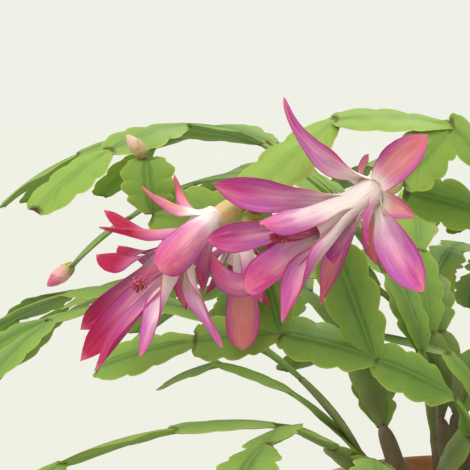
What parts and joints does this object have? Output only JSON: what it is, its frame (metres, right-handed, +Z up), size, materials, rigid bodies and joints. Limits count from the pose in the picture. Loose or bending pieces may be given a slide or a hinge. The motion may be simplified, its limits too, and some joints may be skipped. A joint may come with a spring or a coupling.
{
  "type": "potted christmas cactus",
  "caption": "Christmas cactus in a plain terracotta pot: arching chains of flat scalloped segments with pink open blooms and buds.",
  "frame": {"origin": "centre of the flat underside of the pot's base", "axes": "+Z up along the pot's axis, -Y towards the front, where the large blooms are, +X to the right as seen from the front"},
  "size_m": [0.4837, 0.5034, 0.2892],
  "materials": {
    "pot": "matte",
    "soil": "matte",
    "stem": "satin",
    "petal": "satin",
    "flower_tube": "satin",
    "stamens": "satin",
    "bud": "satin"
  },
  "bodies": {
    "root": {"bloom_back": "petal", "bloom_left_stamens": "stamens", "bloom_left_t01": "petal", "bloom_left_t02": "petal", "bloom_left_t03": "petal", "bloom_left_t04": "petal", "bloom_left_t05": "petal", "bloom_left_t06": "petal", "bloom_left_t07": "petal", "bloom_left_t08": "petal", "bloom_left_t09": "petal", "bloom_left_t10": "petal", "bloom_left_t11": "petal", "bloom_left_t12": "petal", "bloom_left_t13": "petal", "bloom_left_t14": "petal", "bloom_left_tube": "flower_tube", "bloom_middle": "petal", "bloom_right_stamens": "stamens", "bloom_right_t01": "petal", "bloom_right_t02": "petal", "bloom_right_t03": "petal", "bloom_right_t04": "petal", "bloom_right_t05": "petal", "bloom_right_t06": "petal", "bloom_right_t07": "petal", "bloom_right_t08": "petal", "bloom_right_t09": "petal", "bloom_right_t10": "petal", "bloom_right_t11": "petal", "bloom_right_t12": "petal", "bloom_right_t13": "petal", "bloom_right_t14": "petal", "bloom_right_t15": "petal", "bloom_right_t16": "petal", "bloom_right_tube": "flower_tube", "bloom_side": "petal", "bud_back": "bud", "bud_left": "bud", "bud_low": "bud", "bud_side": "bud", "pot": "pot", "soil": "soil", "stem_01": "stem", "stem_02": "stem", "stem_03": "stem", "stem_04": "stem", "stem_05": "stem", "stem_06": "stem", "stem_07": "stem", "stem_08": "stem", "stem_09": "stem", "stem_10": "stem", "stem_11": "stem", "stem_12": "stem", "stem_13": "stem", "stem_14": "stem", "stem_bloom": "stem", "stem_bud": "stem", "stem_right": "stem"}
  },
  "joints": []
}
